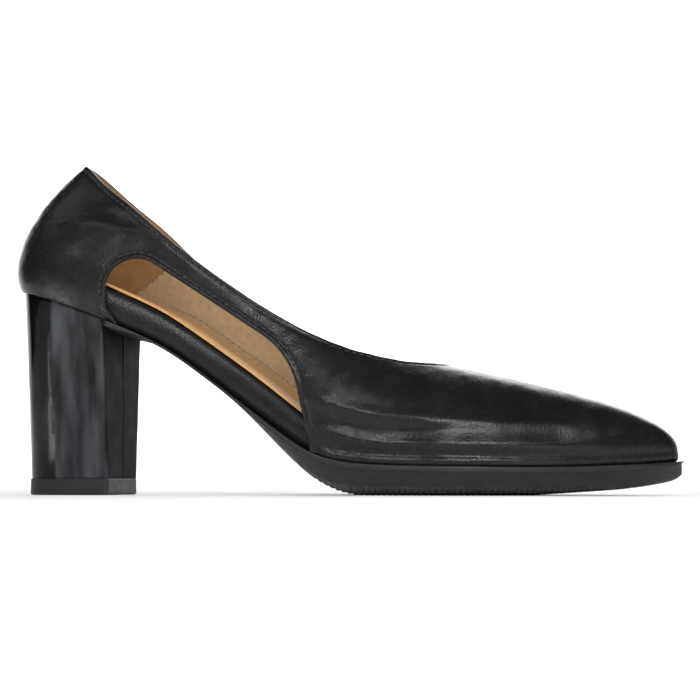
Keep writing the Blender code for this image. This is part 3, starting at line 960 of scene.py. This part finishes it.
class Surface:
    """A material made from nodes, with short calls that add and link them."""

    def __init__(self, name, **sockets):
        self.material = bpy.data.materials.new(name)
        self.material.use_nodes = True
        self.tree = self.material.node_tree
        self.shader = self.tree.nodes["Principled BSDF"]
        for socket, value in sockets.items():
            self.shader.inputs[socket.replace("_", " ")].default_value = value
        self.place = self.tree.nodes.new("ShaderNodeTexCoord").outputs["Object"]
        self.normal = None

    def put(self, socket, value):
        if isinstance(value, bpy.types.NodeSocket):
            self.tree.links.new(value, socket)
        else:
            socket.default_value = value

    def node(self, kind, **sockets):
        made = self.tree.nodes.new("ShaderNode" + kind)
        for socket, value in sockets.items():
            self.put(made.inputs[socket.replace("_", " ")], value)
        return made

    def stretched(self, up):
        """Place with its height scaled, which draws a pattern out upwards."""
        return self.node("Mapping", Vector=self.place, Scale=(1.0, 1.0, up)).outputs["Vector"]

    def along(self, axis):
        return self.node("SeparateXYZ", Vector=self.place).outputs[axis]

    def noise(self, scale, detail=2.0, rough=0.5, place=None):
        place = place or self.place
        made = self.node("TexNoise", Vector=place, Scale=scale, Detail=detail, Roughness=rough)
        return made.outputs["Fac"]

    def cells(self, scale):
        made = self.node("TexVoronoi", Vector=self.place, Scale=scale)
        made.feature = "SMOOTH_F1"
        return made.outputs["Distance"]

    def bands(self, scale, direction, distortion):
        made = self.node("TexWave", Vector=self.place, Scale=scale, Distortion=distortion)
        made.bands_direction = direction
        return made.outputs["Fac"]

    def times(self, a, b):
        made = self.node("Math")
        made.operation = "MULTIPLY"
        self.put(made.inputs[0], a)
        self.put(made.inputs[1], b)
        return made.outputs[0]

    def span(self, value, low, high, start=0.3, end=0.7):
        made = self.node("MapRange", Value=value, From_Min=start, From_Max=end, To_Min=low, To_Max=high)
        return made.outputs["Result"]

    def colours(self, value, first, second, start=0.3, end=0.7):
        made = self.node("ValToRGB", Fac=value)
        low, high = made.color_ramp.elements
        low.position = start
        low.color = (*first, 1)
        high.position = end
        high.color = (*second, 1)
        self.put(self.shader.inputs["Base Color"], made.outputs["Color"])

    def rough(self, scale, detail, low, high):
        value = self.span(self.noise(scale, detail), low, high)
        self.put(self.shader.inputs["Roughness"], value)

    def bump(self, height, strength, distance):
        made = self.node("Bump", Strength=strength, Distance=distance, Height=height)
        if self.normal is not None:
            self.put(made.inputs["Normal"], self.normal)
        self.normal = made.outputs["Normal"]
        self.put(self.shader.inputs["Normal"], self.normal)


def leather(name, dark, light, rough, grain, depth):
    made = Surface(name, Specular_IOR_Level=0.28)
    made.colours(made.noise(90, 4), dark, light)
    made.rough(160, 3, rough - 0.04, rough + 0.05)
    made.bump(made.cells(grain), depth, 0.00012)
    made.bump(made.noise(grain * 1.7, 2), depth * 0.5, 0.00005)
    return made.material


def lining_textile():
    made = Surface("lining_textile", Specular_IOR_Level=0.2, Sheen_Weight=0.25, Sheen_Roughness=0.5)
    made.colours(made.noise(420, 5, 0.65), (0.325, 0.22, 0.115), (0.43, 0.30, 0.17), 0.3, 0.72)
    made.rough(700, 2, 0.72, 0.88)
    weave = made.times(made.bands(820, "DIAGONAL", 0.8), made.bands(820, "X", 0.8))
    made.bump(weave, 0.35, 0.0001)
    made.bump(made.noise(2600, 3), 0.3, 0.00006)
    return made.material


def grip_suede():
    made = Surface("heel_grip_suede", Specular_IOR_Level=0.15, Sheen_Weight=0.4, Sheen_Roughness=0.45)
    made.colours(made.noise(170, 6, 0.7), (0.245, 0.125, 0.045), (0.335, 0.182, 0.07), 0.3, 0.72)
    made.rough(300, 3, 0.8, 0.95)
    made.bump(made.noise(3200, 4, 0.7), 0.35, 0.00008)
    return made.material


def sock_leather():
    made = Surface("sock_tan_leather", Specular_IOR_Level=0.3)
    made.colours(made.noise(120, 5, 0.6), (0.47, 0.245, 0.08), (0.57, 0.315, 0.115), 0.3, 0.7)
    made.rough(240, 3, 0.48, 0.62)
    made.bump(made.cells(1700), 0.25, 0.0001)
    made.bump(made.noise(90, 3), 0.12, 0.0003)
    return made.material


def heel_gloss():
    made = Surface("heel_gloss_painted_reflection", Specular_IOR_Level=0.11, Coat_Weight=0.15, Coat_Roughness=0.05)
    # Grey-blue streaks in the base colour of the flat flanks are a painted reflection of the surroundings;
    # the round back is left plain black
    painted_reflection = made.noise(150, 2, 0.5, place=made.stretched(0.17))
    flat = made.span(made.along("X"), 0.0, 1.0, REFLECTION_PAINT_X - REFLECTION_PAINT_FADE, REFLECTION_PAINT_X + REFLECTION_PAINT_FADE)
    painted_reflection = made.times(painted_reflection, flat)
    made.colours(painted_reflection, (0.003, 0.003, 0.0035), (0.056, 0.060, 0.073), 0.32, 0.70)
    made.rough(120, 4, 0.07, 0.13)
    made.bump(made.noise(75, 2, place=made.stretched(0.16)), 0.7, 0.001)
    made.bump(made.noise(240, 3, place=made.stretched(0.35)), 0.25, 0.0004)
    made.bump(made.noise(2400, 2), 0.05, 0.00003)
    return made.material


def heel_satin_film():
    made = Surface("heel_breast_satin", Specular_IOR_Level=0.025)
    made.colours(made.noise(60, 3), (0.008, 0.008, 0.0085), (0.012, 0.012, 0.0125))
    made.rough(150, 4, 0.55, 0.68)
    made.bump(made.noise(80, 2, place=made.stretched(0.2)), 0.12, 0.0004)
    made.bump(made.noise(2000, 2), 0.08, 0.00004)
    return made.material


def sole_rubber(name, dark, light, rough):
    made = Surface(name, Specular_IOR_Level=0.35)
    made.colours(made.noise(140, 5, 0.65), dark, light)
    made.rough(260, 3, rough - 0.06, rough + 0.08)
    made.bump(made.noise(2200, 3, 0.6), 0.16, 0.00006)
    return made.material


def thread(name, dark, light):
    made = Surface(name, Specular_IOR_Level=0.35, Sheen_Weight=0.2)
    made.colours(made.noise(2000, 2), dark, light)
    made.rough(1500, 2, 0.45, 0.62)
    made.bump(made.bands(3000, "DIAGONAL", 0.5), 0.5, 0.00006)
    return made.material


# Pieces of the shoe

BLACK_LEATHER = leather("upper_black_leather", (0.0085, 0.0085, 0.009), (0.012, 0.012, 0.0125),
                        rough=0.26, grain=1900, depth=0.5)
WRAP_LEATHER = leather("insole_black_leather", (0.0075, 0.0075, 0.008), (0.011, 0.011, 0.0115),
                       rough=0.30, grain=1500, depth=0.6)
TEXTILE = lining_textile()
SUEDE = grip_suede()
TAN = sock_leather()
GLOSS = heel_gloss()
SATIN = heel_satin_film()
SOLE_EDGE = sole_rubber("outsole_black_edge", (0.013, 0.013, 0.013), (0.02, 0.02, 0.02), 0.45)
SOLE_TREAD = sole_rubber("outsole_satin_tread", (0.066, 0.062, 0.059), (0.092, 0.087, 0.083), 0.5)
LIFT_RUBBER = sole_rubber("lift_black_rubber", (0.012, 0.012, 0.012), (0.019, 0.019, 0.0185), 0.58)
BLACK_THREAD = thread("thread_black", (0.012, 0.012, 0.012), (0.03, 0.03, 0.03))
TAN_THREAD = thread("thread_tan", (0.20, 0.12, 0.06), (0.34, 0.22, 0.12))


def dress(name, shape, node, slot, *materials, which=None):
    """Piece of the shoe, riding on the part, with one material or several picked by face."""
    points = ((np.asarray(shape[0], float) - SHIFT) * MM).tolist()
    mesh = smooth_mesh(name, points, shape[1], *materials)
    if which is not None:
        mesh.polygons.foreach_set("material_index", np.asarray(which, np.int32))
    mesh.update()
    thing = add_object(name, mesh)
    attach(thing, "root")
    if node:
        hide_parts(node)


def make_black_stitches():
    """Rows round the topline and round the cut-out, on the outer face."""
    path, normals = lattice.topline_path(TOPLINE_ROW)
    rows = [stitches(path, normals, -STITCH_SINK)]
    line = CUT_LINE[1:-1]
    step = np.gradient(line, axis=0)
    away = unit(np.stack([-step[:, 1], step[:, 0]], axis=1))
    offset = line + away * CUTOUT_ROW
    run = np.concatenate([[0], np.cumsum(np.linalg.norm(np.diff(offset, axis=0), axis=1))])
    even = np.linspace(0, run[-1], 260)
    places = np.stack([np.interp(even, run, offset[:, 0]), np.interp(even, run, offset[:, 1])], axis=1)
    keep = places[:, 1] > sole_line(places[:, 0]) + 1.0
    path, normals = lattice.side_path(places[keep])
    rows.append(stitches(path, normals, -STITCH_SINK))
    return merge(*rows)


def make_lining_stitches():
    """Rows inside: under the topline, along the heel grip's seam, and over the sock."""
    path, normals = lattice.topline_path(LINING_ROW)
    rows = [stitches(path, normals, -LINING_IN - STITCH_SINK, inward=True)]
    (x0, z0), (x1, z1) = SEAM
    for inner in (True, False):
        share = np.linspace(-1.1, 0.9, 80)
        places = np.stack([x0 + 1.0 + (x1 - x0) * share, z0 - 1.4 + (z1 - z0) * share], axis=1)
        path, normals = lattice.side_path(places, inner)
        rows.append(stitches(path, normals, -LINING_IN - 0.02, inward=True))
    foot_x = lattice.point[:, 0, 0]
    outer = np.flatnonzero(~lattice.inner[:, 0] & (foot_x > 50) & (foot_x < 150))
    above = lattice.point[..., 2] - insole_top(lattice.point[..., 0]) - GAP - SOCK_THICK
    path, normals = lattice.column_path(above, SOCK_ROW, outer)
    rows.append(stitches(path, normals, -LINING_IN - 0.02, inward=True))
    return merge(*rows)


dress("upper_leather", make_upper(), "upper", "upper", BLACK_LEATHER)
dress("insole_wrap", make_insole(), "insole", "insole", WRAP_LEATHER)
dress("sock", make_sock(), "sock_lining", "sock_lining", TAN)
dress("quarter_lining", make_lining(), None, "sock_lining", TEXTILE)
dress("heel_grip", make_grip(), None, "sock_lining", SUEDE)
*sole, tread = make_outsole()
dress("outsole_ribbed", sole, "outsole", "outsole", SOLE_EDGE, SOLE_TREAD, which=tread)
*block, satin = make_heel()
dress("heel_block", block, "heel", "heel", GLOSS, SATIN, which=satin)
dress("lift_rubber", make_lift(), "top_lift", "top_lift", LIFT_RUBBER)
dress("stitches_black", make_black_stitches(), None, "upper", BLACK_THREAD)
dress("stitches_tan", make_lining_stitches(), None, "sock_lining", TAN_THREAD)


# Floor, light and camera

WORLD_STRENGTH = 0.65
CAMERA_PLACE = (0.0936, -0.5473, 0.004)
CAMERA_TARGET = (0.0038, -0.0036, 0.0523)
CAMERA_LENS = 78.53

# Soft lights of the studio: places and sizes in metres, spread and turn in degrees
Light = namedtuple("Light", "name place target width height watts spread turn", defaults=(180, 0))
LIGHTS = (
    Light("fill", (-0.3, -1.8, 0.5), (0.0, 0.0, 0.06), 1.4, 0.7, 0.8),
    Light("strip_left", (-0.60, -0.95, 0.62), (-0.08, -0.02, 0.09), 0.28, 0.12, 0.65),
    Light("strip_high", (0.30, -1.02, 0.60), (0.04, -0.03, 0.03), 0.80, 0.11, 7.4, turn=17),
    Light("band", (-0.508, -0.896, 0.472), (0.09, -0.035, -0.005), 0.17, 0.19, 0.017, 8),
    Light("floor_left", (-0.40, -0.47, 0.5), (-0.40, -0.47, 0.0), 0.8, 0.22, 0.6, 14, 70),
    Light("floor_band", (-0.44, -0.30, 0.30), (-0.44, -0.30, 0.0), 0.72, 0.012, 0.40, 7, 39),
    Light("counter", (-0.75, -0.15, 0.85), (-0.1, 0.0, 0.11), 0.5, 0.35, 0.4),
    Light("heel_edge", (0.41, -0.513, 0.05), (-0.085, -0.018, 0.035), 0.16, 0.10, 0.013, 12),
    Light("back", (0.1, 1.35, 0.95), (0.0, -0.2, 0.0), 1.4, 0.3, 3),
    Light("backdrop", (-0.35, 0.45, 1.5), (-0.35, 1.6, 0.7), 2.6, 0.5, 32, 100),
)



def make_floor():
    """Plain pale floor that sweeps up behind the shoe."""
    profile = [(-2.6, 0.0), (-1.0, 0.0), (0.0, 0.0), (0.7, 0.0)]
    for q in np.linspace(0, 1, 17)[1:]:
        turn = q * math.pi / 2
        profile.append((0.7 + 0.9 * math.sin(turn), 0.9 * (1 - math.cos(turn))))
    profile.append((1.6, 1.1))
    points, faces = [], []
    for y, z in profile:
        points += [(-3.0, y, z), (3.0, y, z)]
    for i in range(len(profile) - 1):
        faces.append((2 * i, 2 * i + 1, 2 * i + 3, 2 * i + 2))
    made = Surface("floor_pale", Specular_IOR_Level=0.1)
    made.colours(made.noise(6, 3), (0.86, 0.86, 0.86), (0.88, 0.88, 0.88))
    made.rough(40, 2, 0.75, 0.85)
    floor = add_object("floor", smooth_mesh("floor", points, faces, made.material))


def aim(thing, target, turn=0):
    """Points a light or camera at a place, turned about its own line of sight."""
    sight = (Vector(target) - thing.location).to_track_quat("-Z", "Y")
    thing.rotation_euler = (sight @ Quaternion((0.0, 0.0, 1.0), math.radians(turn))).to_euler()


def make_light(light):
    lamp = bpy.data.lights.new(light.name, "AREA")
    lamp.shape = "RECTANGLE"
    lamp.size = light.width
    lamp.size_y = light.height
    lamp.energy = light.watts
    lamp.spread = math.radians(light.spread)
    thing = add_object(light.name, lamp)
    thing.location = light.place
    aim(thing, light.target, light.turn)


def make_world():
    """Even white surroundings, which light the floor and are kept out of reflections."""
    bpy.context.scene.view_settings.view_transform = "Standard"
    world = bpy.data.worlds.new("studio")
    world.use_nodes = True
    background = world.node_tree.nodes["Background"]
    background.inputs["Color"].default_value = (1.0, 1.0, 1.0, 1)
    background.inputs["Strength"].default_value = WORLD_STRENGTH
    bpy.context.scene.world = world
    world.cycles_visibility.glossy = False


def make_camera():
    lens = bpy.data.cameras.new("camera")
    lens.sensor_width = 36.0
    lens.lens = CAMERA_LENS
    lens.clip_start = 0.02
    camera = add_object("camera", lens)
    camera.location = CAMERA_PLACE
    aim(camera, CAMERA_TARGET)
    bpy.context.scene.camera = camera


make_floor()
make_world()
for light in LIGHTS:
    make_light(light)
make_camera()
